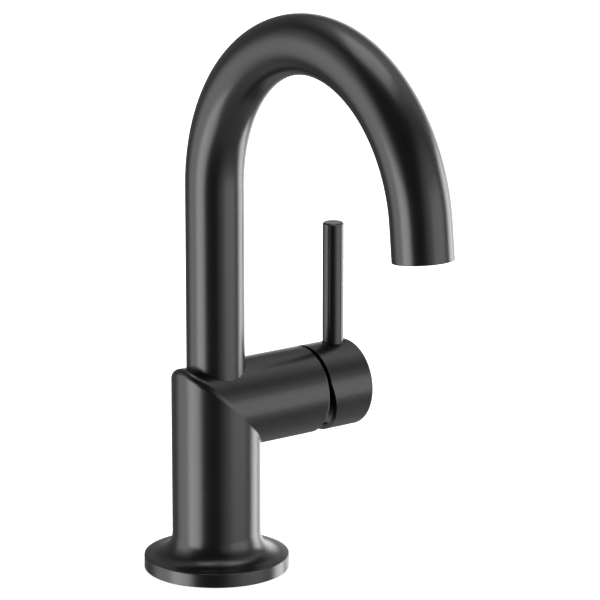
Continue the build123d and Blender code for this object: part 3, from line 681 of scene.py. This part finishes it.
@dataclass(frozen=True)
class Thread:
    """An ISO metric thread, cut as one helical groove of 60 degrees."""

    radius: float
    pitch: float
    start: Vector
    length: float
    axis: Axis
    inside: bool = False
    angle_deg: float = 60.0
    steps: int = 32
    overcut: float = 0.1
    nut_play: float = 0.02
    # Shares of the pitch: how deep the groove goes, half its width at its root and at its mouth, and how far
    # before the start a nut's groove begins
    screw_depth: float = 0.61
    screw_root: float = 0.0775
    screw_mouth: float = 0.43
    screw_widest: float = 0.485
    nut_depth: float = 0.54
    nut_root: float = 0.0625
    nut_mouth: float = 0.375
    nut_lead_in: float = 0.5

    def groove(self) -> bpy.types.Object:
        """Sweep the groove as a solid, from before the start to about the end.

        Returns:
            The groove's solid, in its place.
        """
        flank = tan(radians(self.angle_deg / 2))
        if self.inside:
            root, mouth = self.radius + self.nut_depth * self.pitch, self.radius - self.overcut
            narrow = self.nut_root * self.pitch + self.nut_play
            wide = self.nut_mouth * self.pitch + self.nut_play + self.overcut * flank
            first = -self.nut_lead_in * self.pitch
        else:
            root, mouth = self.radius - self.screw_depth * self.pitch, self.radius + self.overcut
            narrow = self.screw_root * self.pitch
            wide = min(self.screw_mouth * self.pitch + self.overcut * flank, self.screw_widest * self.pitch)
            first = -self.pitch
        bpy.ops.object.select_all(action="DESELECT")
        bpy.ops.mesh.primitive_plane_add(
            size=1, location=((root + mouth) / 2 * MM, 0, first * MM), rotation=(pi / 2, 0, 0)
        )
        groove = bpy.context.object
        groove.scale = (abs(mouth - root) * MM, 2 * wide * MM, 1)
        settle(groove)
        pick(groove, lambda place: abs(place.x - root) < ON_PLANE_MM)
        bpy.ops.transform.resize(value=(1, 1, narrow / wide), center_override=(root * MM, 0, first * MM))
        bpy.ops.mesh.select_all(action="SELECT")
        bpy.ops.mesh.delete(type="ONLY_FACE")
        leave_edit()
        turns = int(self.length / self.pitch + 0.5) + 1
        screw = groove.modifiers.new("helix", "SCREW")
        screw.axis = "Z"
        screw.screw_offset = self.pitch * MM
        screw.iterations = turns
        screw.steps = screw.render_steps = self.steps
        screw.use_smooth_shade = False
        apply_modifiers(groove)
        edit(groove)
        bpy.ops.mesh.fill_holes(sides=4)
        bpy.ops.mesh.normals_make_consistent(inside=False)
        leave_edit()
        groove.rotation_euler = self.axis.value
        groove.location = self.start * MM
        settle(groove)
        return groove

    def cut(self, piece: bpy.types.Object) -> None:
        """Cut the thread into a piece."""
        combine(piece, self.groove(), Boolean.CUT)


EPDM = Moulding("moulded_epdm_rubber", "#171717", "#202020", 0.62, 1.5, 0.35, 0.12)
ACETAL = Moulding("moulded_white_acetal", "#e9e8e2", "#deddd5", 0.42, 1.48, 0.3, 0.05, 0.08)
GREY_ACETAL = Moulding("moulded_grey_acetal", "#85888c", "#7a7d82", 0.42, 1.48, 0.3, 0.05, 0.04)
WHITE_ALUMINA = Moulding("lapped_white_alumina", "#f1f0ea", "#e8e6de", 0.16, 1.76, 0.2, 0.02, 0.05)
GREY_ALUMINA = Moulding("lapped_grey_alumina", "#5c5d61", "#525358", 0.16, 1.76, 0.2, 0.02)
COAT = PowderCoat()


def brass_about(
    axis: Axis, centre: tuple[float, float, float], tooling: Tooling = Tooling.TURNED
) -> WorkedMetal:
    """Brass turned about an axis or drawn along it."""
    return WorkedMetal("machined_brass", "#d8b66c", "#b8924c", axis, centre, tooling)


def steel_about(
    axis: Axis, centre: tuple[float, float, float], tooling: Tooling = Tooling.TURNED
) -> WorkedMetal:
    """Stainless steel turned about an axis, or rolled or drawn along it."""
    return WorkedMetal("stainless_steel", "#c6c5c1", "#b4b3af", axis, centre, tooling, roughness=0.32)


@dataclass
class SubAssembly:
    """Pieces that are built, dressed and reported together."""

    frame: dict

    def build(self) -> list[bpy.types.Object]:
        """Make the pieces that stand for CAD nodes."""
        return []

    def finishes(self) -> dict[str, Finish]:
        """The surface of each CAD node that keeps its shape."""
        return {}

    def dress(self) -> None:
        """Give the CAD nodes their surfaces."""
        for node, finish in self.finishes().items():
            data = self.frame["nodes"][node].data
            data.materials.clear()
            data.materials.append(shader_of(finish))


@dataclass
class Body(SubAssembly):
    """The cast column, elbow and arm, with what seals and stops in them."""

    screw_pitch: float = 0.7
    screw_thread: float = 5.0

    def build(self) -> list[bpy.types.Object]:
        """Cut the stop screw's thread.

        Returns:
            The threaded screw.
        """
        low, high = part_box("spout_stop_screw")
        size = (high - low) / MM
        place = middle("spout_stop_screw")
        screw = copied(self.frame, "spout_stop_screw")
        start = Vector((place.x, high.y / MM - self.screw_thread, place.z))
        Thread(size.x / 2, self.screw_pitch, start, self.screw_thread, Axis.BACK).cut(screw)
        finish_piece(screw, "spout_stop_screw_threaded", steel_about(Axis.BACK, tuple(place)))
        return [stand_for(screw, "spout_stop_screw", "faucet_body")]

    def finishes(self) -> dict[str, Finish]:
        """The casting's coat, and the foot's gasket."""
        return {"body_shell": CoatedCasting(), "base_gasket": EPDM}


@dataclass
class Spout(SubAssembly):
    """The gooseneck tube, and the brass tail that turns in the elbow."""

    def finishes(self) -> dict[str, Finish]:
        """The tube's coat, the tail's brass, and the seals and slip ring on it."""
        return {
            "spout_tube": COAT,
            "spout_tail": brass_about(Axis.UP, (0.0, 0.0, 0.0)),
            "spout_o_rings": EPDM,
            "spout_slip_ring": ACETAL,
        }


@dataclass
class Aerator(SubAssembly):
    """The insert in the spout's mouth."""

    # Real screens have 0.4 mm meshes, and this one is twice as coarse so that it shows between the cells.
    wire_radius: float = 0.1
    wire_sides: int = 6
    wire_smooth_deg: float = 60.0
    mesh_mm: float = 0.92
    steps: int = 8
    weld_mm: float = 0.005
    edge_gap: float = 0.1
    outlet_tilt: float = radians(174)

    def wire(self, length: float) -> bpy.types.Object:
        """Crimp one straight wire of a plain weave along X.

        Args:
            length: at least this long, in millimetres.

        Returns:
            The wire, with its middle at the origin.
        """
        wave = 2 * self.mesh_mm
        count = int(length / wave) + 2
        bpy.ops.object.select_all(action="DESELECT")
        bpy.ops.mesh.primitive_circle_add(
            vertices=self.wire_sides,
            radius=self.wire_radius * MM,
            location=(0, 0, self.wire_radius * MM),
            rotation=(0, pi / 2, 0),
        )
        wire = bpy.context.object
        settle(wire)
        edit(wire)
        for step in range(self.steps):
            here, there = (cos(2 * pi * turn / self.steps) for turn in (step, step + 1))
            rise = self.wire_radius * (there - here)
            bpy.ops.mesh.extrude_region_move(
                TRANSFORM_OT_translate={"value": (wave / self.steps * MM, 0, rise * MM)}
            )
        leave_edit()
        row = wire.modifiers.new("row", "ARRAY")
        row.count = count
        row.use_relative_offset = False
        row.use_constant_offset = True
        row.constant_offset_displace = (wave * MM, 0, 0)
        row.use_merge_vertices = True
        row.merge_threshold = self.weld_mm * MM
        apply_modifiers(wire)
        wire.location.x = -count // 2 * wave * MM
        settle(wire)
        return wire

    def screen(self) -> bpy.types.Object:
        """Weave a round screen.

        Returns:
            The screen, in its place across the outlet.
        """
        low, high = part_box("aerator_screen")
        radius = (high.x - low.x) / 2 / MM - self.edge_gap
        count = int(radius / self.mesh_mm)
        pattern = self.wire(2 * radius + 2 * self.mesh_mm)
        wires = []
        for turn in (0, 1):
            for index in range(-count, count + 1):
                wire = bpy.data.objects.new("wire", pattern.data.copy())
                bpy.context.scene.collection.objects.link(wire)
                wire.location.x = (index + turn) % 2 * self.mesh_mm * MM
                wire.location.y = index * self.mesh_mm * MM
                settle(wire)
                reach = sqrt(radius**2 - (index * self.mesh_mm) ** 2) * MM
                edit(wire)
                for side in (-1, 1):
                    bpy.ops.mesh.select_all(action="SELECT")
                    bpy.ops.mesh.bisect(
                        plane_co=(side * reach, 0, 0), plane_no=(side, 0, 0), use_fill=True, clear_outer=True
                    )
                leave_edit()
                wire.rotation_euler.z = turn * pi / 2
                settle(wire)
                wires.append(wire)
        bpy.data.objects.remove(pattern)
        for wire in wires:
            wire.select_set(True)
        bpy.ops.object.join()
        screen = bpy.context.object
        edit(screen)
        bpy.ops.mesh.normals_make_consistent(inside=False)
        leave_edit()
        screen.rotation_euler.x = self.outlet_tilt
        screen.location = (low + high) / 2
        return screen

    def build(self) -> list[bpy.types.Object]:
        """Weave the screen.

        Returns:
            The woven screen.
        """
        steel = steel_about(Axis.UP, (0, 0, 0))
        screen = finish_piece(self.screen(), "aerator_screen_woven", steel, self.wire_smooth_deg)
        return [stand_for(screen, "aerator_screen", "spout")]

    def finishes(self) -> dict[str, Finish]:
        """The plastic housing and honeycomb, and the rubber washer."""
        return {"aerator_housing": GREY_ACETAL, "flow_straightener": ACETAL, "aerator_washer": EPDM}


@dataclass
class Cartridge(SubAssembly):
    """The mixing cartridge in the arm, and the nut that holds it."""

    arm_height: float = 71.0
    nut_pitch: float = 1.5
    thread_length: float = 6.0
    thread_steps: int = 48

    def build(self) -> list[bpy.types.Object]:
        """Cut the bonnet nut's thread.

        Returns:
            The threaded nut.
        """
        low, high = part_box("bonnet_nut")
        nut = copied(self.frame, "bonnet_nut")
        start = Vector((low.x / MM, 0, self.arm_height))
        radius = (high.y - low.y) / 2 / MM
        Thread(radius, self.nut_pitch, start, self.thread_length, Axis.ARM, steps=self.thread_steps).cut(nut)
        finish_piece(nut, "bonnet_nut_threaded", self.plating())
        return [stand_for(nut, "bonnet_nut", "faucet_body")]

    def plating(self) -> WorkedMetal:
        """Black nickel plate over the turned nut and trim, which leaves only small dull glints."""
        return WorkedMetal(
            "black_nickel_plate", "#1c1c1e", "#151517", Axis.ARM, (0, 0, self.arm_height), roughness=0.34
        )

    def finishes(self) -> dict[str, Finish]:
        """Each cartridge piece's own material."""
        return {
            "cartridge_base": GREY_ACETAL,
            "port_seals": EPDM,
            "disc_seals": EPDM,
            "fixed_disc": WHITE_ALUMINA,
            "moving_disc": GREY_ALUMINA,
            "disc_carrier": GREY_ACETAL,
            "stem_carrier": ACETAL,
            "carrier_seal": EPDM,
            "pivot_pin": steel_about(Axis.BACK, tuple(middle("pivot_pin"))),
            "cartridge_housing": ACETAL,
            "bonnet_trim": self.plating(),
        }


@dataclass
class Lever(SubAssembly):
    """The hub on the valve stem, its grub screw and the rod that stands on it."""

    arm_height: float = 71.0
    screw_pitch: float = 0.8

    def build(self) -> list[bpy.types.Object]:
        """Cut the grub screw's thread, and clean the stem's seam.

        Returns:
            The threaded screw and the stem.
        """
        low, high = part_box("hub_set_screw")
        place = middle("hub_set_screw")
        size = (high - low) / MM
        screw = copied(self.frame, "hub_set_screw")
        start = Vector((place.x, place.y, low.z / MM))
        Thread(size.x / 2, self.screw_pitch, start, size.z, Axis.UP).cut(screw)
        finish_piece(screw, "hub_set_screw_threaded", steel_about(Axis.UP, tuple(place)))
        stem = copied(self.frame, "valve_stem")
        brass = brass_about(Axis.ARM, (0.0, 0.0, self.arm_height), Tooling.DRAWN)
        finish_piece(stem, "valve_stem_milled", brass)
        return [
            stand_for(screw, "hub_set_screw", "handle"),
            stand_for(stem, "valve_stem", "handle"),
        ]

    def finishes(self) -> dict[str, Finish]:
        """The coat of hub and rod."""
        return {"handle_hub": COAT, "handle_rod": COAT}


@dataclass
class Mounting(SubAssembly):
    """What clamps the faucet to the deck and feeds it."""

    stud_pitch: float = 1.25
    port_pitch: float = 1.0
    port_bottom: float = 2.0
    port_radius: float = 4.46
    port_thread: float = 6.5
    nut_sides: int = 6
    nut_bore: float = 3.32
    nut_chamfer: float = 0.9
    # The end faces' radius as a share of the hexagon's inner radius
    nut_end_share: float = 0.97
    nut_corner_sides: int = 96
    drill_overrun: float = 1.0

    def stud(self) -> bpy.types.Object:
        """Cut the stud's thread along its whole length.

        Returns:
            The threaded stud.
        """
        low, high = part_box("mounting_stud")
        place = middle("mounting_stud")
        stud = copied(self.frame, "mounting_stud")
        radius = (high.x - low.x) / 2 / MM
        self.thread(radius, low.z / MM, high.z / MM, place).cut(stud)
        finish_piece(stud, "mounting_stud_threaded", steel_about(Axis.UP, tuple(place)))
        return stand_for(stud, "mounting_stud", "faucet_body")

    def thread(self, radius: float, bottom: float, top: float, place: Vector, inside: bool = False) -> Thread:
        """The M8 thread of stud and nut, both counted from the stud's foot so that they mesh.

        Args:
            radius: the stud's radius, or that of the nut's bore.
            bottom: the height that the thread begins at.
            top: the height that it ends at.
            place: any point on its axis.
            inside: whether it is the nut's.

        Returns:
            The thread.
        """
        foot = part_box("mounting_stud")[0].z / MM
        start = foot + int((bottom - foot) / self.stud_pitch) * self.stud_pitch
        begin = Vector((place.x, place.y, start))
        return Thread(radius, self.stud_pitch, begin, top - start, Axis.UP, inside)

    def nut(self) -> bpy.types.Object:
        """Shape the clamping nut: a hexagon with chamfered corners and a threaded bore.

        Returns:
            The threaded nut.
        """
        low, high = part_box("mounting_nut")
        place = middle("mounting_nut")
        corner = (high.x - low.x) / 2 / MM
        half_side = pi / self.nut_sides
        flats = corner * cos(half_side)
        height = (high.z - low.z) / MM
        nut = drum(corner, height, place, Axis.UP, self.nut_sides)
        nut.rotation_euler.z = half_side
        settle(nut)
        round_bar = drum(corner, height - 2 * self.nut_chamfer, place, Axis.UP, self.nut_corner_sides)
        for side in (-1, 1):
            end = place.z + side * (height / 2 - self.nut_chamfer)
            pick(round_bar, lambda spot, end=end: abs(spot.z - end) < ON_PLANE_MM)
            bpy.ops.mesh.extrude_region_move(
                TRANSFORM_OT_translate={"value": (0, 0, side * self.nut_chamfer * MM)}
            )
            shrink = flats * self.nut_end_share / corner
            bpy.ops.transform.resize(value=(shrink, shrink, 1), center_override=place * MM)
            leave_edit()
        combine(nut, round_bar, Boolean.KEEP_COMMON)
        combine(nut, drum(self.nut_bore, height + 2 * self.drill_overrun, place, Axis.UP), Boolean.CUT)
        self.thread(self.nut_bore, low.z / MM, high.z / MM, place, inside=True).cut(nut)
        finish_piece(nut, "mounting_nut_threaded", brass_about(Axis.UP, tuple(place), Tooling.DRAWN))
        return stand_for(nut, "mounting_nut", "faucet_body")

    def block(self) -> bpy.types.Object:
        """Cut the threads of both hose ports into the inlet block.

        Returns:
            The threaded block.
        """
        block = copied(self.frame, "inlet_block")
        for tube in ("hot_inlet_tube", "cold_inlet_tube"):
            place = middle(tube)
            start = Vector((place.x, place.y, self.port_bottom))
            thread = Thread(self.port_radius, self.port_pitch, start, self.port_thread, Axis.UP, inside=True)
            thread.cut(block)
        finish_piece(block, "inlet_block_threaded", brass_about(Axis.UP, (0.0, 0.0, 0.0)))
        return stand_for(block, "inlet_block", "faucet_body")

    def build(self) -> list[bpy.types.Object]:
        """Make the threaded pieces."""
        return [self.stud(), self.nut(), self.block()]

    def finishes(self) -> dict[str, Finish]:
        """Copper tubes, steel plate and ring, and the rubber under the deck.

        Returns:
            The surface of each CAD node.
        """
        copper = WorkedMetal("drawn_copper", "#d0906c", "#a8664a", tooling=Tooling.DRAWN)
        strip = steel_about(Axis.ARM, (0.0, 0.0, 0.0), Tooling.DRAWN)
        return {
            "hot_inlet_tube": copper,
            "cold_inlet_tube": copper,
            "block_snap_ring": strip,
            "horseshoe_washer": strip,
            "deck_gasket": EPDM,
        }


def direction(azimuth_deg: float, elevation_deg: float) -> Vector:
    """The unit vector towards an azimuth, counted from the front to the right, and an elevation."""
    azimuth, elevation = radians(azimuth_deg), radians(elevation_deg)
    return Vector((sin(azimuth) * cos(elevation), -cos(azimuth) * cos(elevation), sin(elevation)))


@dataclass(frozen=True)
class Softbox:
    """A square lamp with a diffuser, placed by the way that it shines from and the angles that it spans."""

    name: str
    azimuth_deg: float
    elevation_deg: float
    width_deg: float
    height_deg: float
    radiance: float
    # In metres
    distance: float = 3.0

    def build(self, aim: Vector) -> bpy.types.Object:
        """Place the lamp round the point that it is aimed at.

        Args:
            aim: the point that it faces, in metres.

        Returns:
            The lamp.
        """
        out = direction(self.azimuth_deg, self.elevation_deg)
        data = bpy.data.lights.new(self.name, "AREA")
        data.shape = "RECTANGLE"
        data.size = 2 * self.distance * tan(radians(self.width_deg / 2))
        data.size_y = 2 * self.distance * tan(radians(self.height_deg / 2))
        data.energy = self.radiance * pi * data.size * data.size_y
        lamp = bpy.data.objects.new(self.name, data)
        bpy.context.scene.collection.objects.link(lamp)
        lamp.location = aim + out * self.distance
        lamp.rotation_mode = "QUATERNION"
        lamp.rotation_quaternion = out.to_track_quat("Z", "Y")
        lamp.visible_camera = False
        return lamp


@dataclass(frozen=True)
class Glow:
    """Soft light that a studio's walls give back round a lamp, brightest in one direction."""

    azimuth_deg: float
    elevation_deg: float
    core_deg: float
    reach_deg: float
    radiance: float

    def build(self, tree: bpy.types.NodeTree, looking: bpy.types.NodeSocket) -> bpy.types.NodeSocket:
        """Add the glow to a world.

        Args:
            tree: the world's node tree.
            looking: the direction that a ray looks in.

        Returns:
            The socket of how strongly it glows there.
        """
        towards = direction(self.azimuth_deg, self.elevation_deg)
        near = add_node(tree, "VectorMath", {"operation": "DOT_PRODUCT"}, input_0=looking, input_1=towards)
        spread = add_node(
            tree,
            "MapRange",
            {"interpolation_type": "SMOOTHSTEP"},
            value=near.outputs["Value"],
            from_min=cos(radians(self.reach_deg)),
            from_max=cos(radians(self.core_deg)),
            to_min=0.0,
            to_max=self.radiance,
        )
        return spread.outputs[0]


@dataclass
class Studio:
    """Floor, soft light and the camera at the photograph's angle."""

    azimuth_deg: float = -37.455
    elevation_deg: float = 13.955
    distance_mm: float = 1493.38
    aim_height_mm: float = 117.98
    aim_aside_mm: float = 35.88
    focal_px: float = 3525.72
    frame_px: float = 600.0
    sensor_mm: float = 36.0
    lamp_aim_mm: tuple[float, float, float] = (0.0, -40.0, 120.0)
    # The floor's own sizes are in metres, and so are the reaches of its glow below, which is dimmer near the
    # foot as a painted shade.
    floor_size: float = 12.0
    floor_sides: int = 64
    tap_hole_radius: float = 0.0175
    room_glow: float = 0.03
    room_sheen: float = 0.05
    floor_glow: float = 0.5
    # How far down a ray looks where the floor's glow begins and where it is full: straight down is -1.
    floor_glow_edge: float = -0.45
    floor_glow_full: float = -0.85
    # The floor's glow for the camera is weaker round the foot, a painted shade, and full white from
    # white_from outwards.
    glow_in_painted_shade: float = 0.68
    painted_shade_reach: float = 0.12
    white_from: float = 0.6
    lamps: tuple[Softbox, ...] = (
        Softbox("key_softbox", -95, -19, 35, 50, 4.0),
        Softbox("fill_softbox", 25, -1, 46, 36, 1.45),
        Softbox("strip_softbox", 82.5, -13, 27, 54, 5.8),
        Softbox("overhead_softbox", 117, 82, 38, 38, 2.7),
    )
    glows: tuple[Glow, ...] = (
        Glow(-117, -8, 12, 46, 2.25),
        Glow(-130, 24, 6, 32, 0.8),
        Glow(17, 0, 16, 50, 1.2),
        Glow(60, 44, 8, 46, 0.33),
        Glow(90, 26, 6, 32, 0.35),
        Glow(118, 70, 12, 46, 0.7),
        Glow(122, -5, 6, 32, 2.1),
        Glow(168, 8, 20, 60, 0.12),
    )

    def build_camera(self) -> bpy.types.Object:
        """Place the camera where the photograph was taken from.

        Returns:
            The camera.
        """
        back = direction(self.azimuth_deg, self.elevation_deg)
        right = (-back).cross(Vector((0, 0, 1))).normalized()
        data = bpy.data.cameras.new("camera")
        data.sensor_width = self.sensor_mm
        data.lens = self.focal_px / self.frame_px * self.sensor_mm
        camera = bpy.data.objects.new("camera", data)
        bpy.context.scene.collection.objects.link(camera)
        aim = Vector((0, 0, self.aim_height_mm)) + right * self.aim_aside_mm
        camera.location = (aim + back * self.distance_mm) * MM
        camera.rotation_mode = "QUATERNION"
        camera.rotation_quaternion = (-back).to_track_quat("-Z", "Y")
        bpy.context.scene.camera = camera
        return camera

    def build_lamps(self) -> None:
        """Place the softboxes."""
        for lamp in self.lamps:
            lamp.build(Vector(self.lamp_aim_mm) * MM)

    def build_world(self) -> None:
        """A white backdrop all round that is a dim room in the sheen of the object and in the light on it."""
        world = bpy.data.worlds.new("studio")
        bpy.context.scene.world = world
        world.use_nodes = True
        tree = world.node_tree
        tree.nodes.clear()
        path = add_node(tree, "LightPath").outputs
        seen = add_node(
            tree,
            "Math",
            {"operation": "MAXIMUM"},
            input_0=path["Is Camera Ray"],
            input_1=path["Is Transmission Ray"],
        )
        looking = add_node(tree, "TexCoord").outputs["Generated"]
        height = add_node(tree, "SeparateXYZ", vector=looking)
        below = add_node(
            tree,
            "MapRange",
            {"interpolation_type": "SMOOTHSTEP"},
            value=height.outputs["Z"],
            from_min=self.floor_glow_edge,
            from_max=self.floor_glow_full,
            to_min=self.room_glow,
            to_max=self.floor_glow,
        )
        sheen = add_node(
            tree, "Math", {"operation": "MULTIPLY"}, input_0=path["Is Glossy Ray"], input_1=self.room_sheen
        )
        dim = add_node(tree, "Math", {"operation": "ADD"}, input_0=below.outputs[0], input_1=sheen.outputs[0])
        for glow in self.glows:
            light = glow.build(tree, looking)
            dim = add_node(tree, "Math", {"operation": "ADD"}, input_0=dim.outputs[0], input_1=light)
        strength = add_node(
            tree, "Mix", {"data_type": "FLOAT"}, input_0=seen.outputs[0], input_2=dim.outputs[0], input_3=1.0
        )
        white = add_node(tree, "Background", color=linear("#ffffff"), strength=strength.outputs[0])
        add_node(tree, "OutputWorld", surface=white.outputs[0])

    def build_floor(self) -> bpy.types.Object:
        """Lay a pale floor with the tap hole under the foot.

        Returns:
            The floor.
        """
        bpy.ops.object.select_all(action="DESELECT")
        bpy.ops.mesh.primitive_circle_add(
            vertices=self.floor_sides, radius=self.floor_size / 2, fill_type="NGON"
        )
        floor = bpy.context.object
        floor.name = "floor"
        edit(floor)
        apothem = self.floor_size / 2 * cos(pi / self.floor_sides)
        bpy.ops.mesh.inset(thickness=apothem - self.tap_hole_radius)
        bpy.ops.mesh.delete(type="FACE")
        leave_edit()
        material, tree = new_material("painted_floor")
        path = add_node(tree, "LightPath")
        paint = add_node(tree, "BsdfDiffuse", color=linear("#f2f2f2"))
        place = add_node(tree, "TexCoord").outputs["Object"]
        distance = add_node(tree, "VectorMath", {"operation": "LENGTH"}, input_0=place)
        # Painted shade: the glow that the camera sees is weaker near the foot and rises to full white further
        # out.
        painted_shade_glow = add_node(
            tree,
            "MapRange",
            {"interpolation_type": "SMOOTHSTEP"},
            value=distance.outputs["Value"],
            from_min=self.painted_shade_reach,
            from_max=self.white_from,
            to_min=self.glow_in_painted_shade,
            to_max=1.0,
        )
        glow = add_node(tree, "Emission", color=linear("#ffffff"), strength=painted_shade_glow.outputs[0])
        both = add_node(tree, "AddShader", input_0=paint.outputs[0], input_1=glow.outputs[0])
        shown = add_node(
            tree,
            "MixShader",
            fac=path.outputs["Is Camera Ray"],
            input_1=paint.outputs[0],
            input_2=both.outputs[0],
        )
        add_node(tree, "OutputMaterial", surface=shown.outputs[0])
        floor.data.materials.append(material)
        floor.visible_glossy = False
        floor.visible_shadow = False
        return floor

    def build(self) -> None:
        """Set up the whole studio."""
        bpy.context.scene.view_settings.view_transform = "Standard"
        self.build_camera()
        self.build_lamps()
        self.build_world()
        self.build_floor()


def main() -> None:
    """Build the studio and every sub-assembly."""
    logging.basicConfig(level=logging.INFO, format="%(name)s: %(message)s")
    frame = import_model()
    Studio().build()
    for part in (Body(frame), Spout(frame), Aerator(frame), Cartridge(frame), Lever(frame), Mounting(frame)):
        part.dress()
        for piece in part.build():
            LOG.info("%s: %s, %d faces", type(part).__name__, piece.name, len(piece.data.polygons))
        LOG.info("%s: %s", type(part).__name__, ", ".join(part.finishes()))


if __name__ == "__main__":
    main()
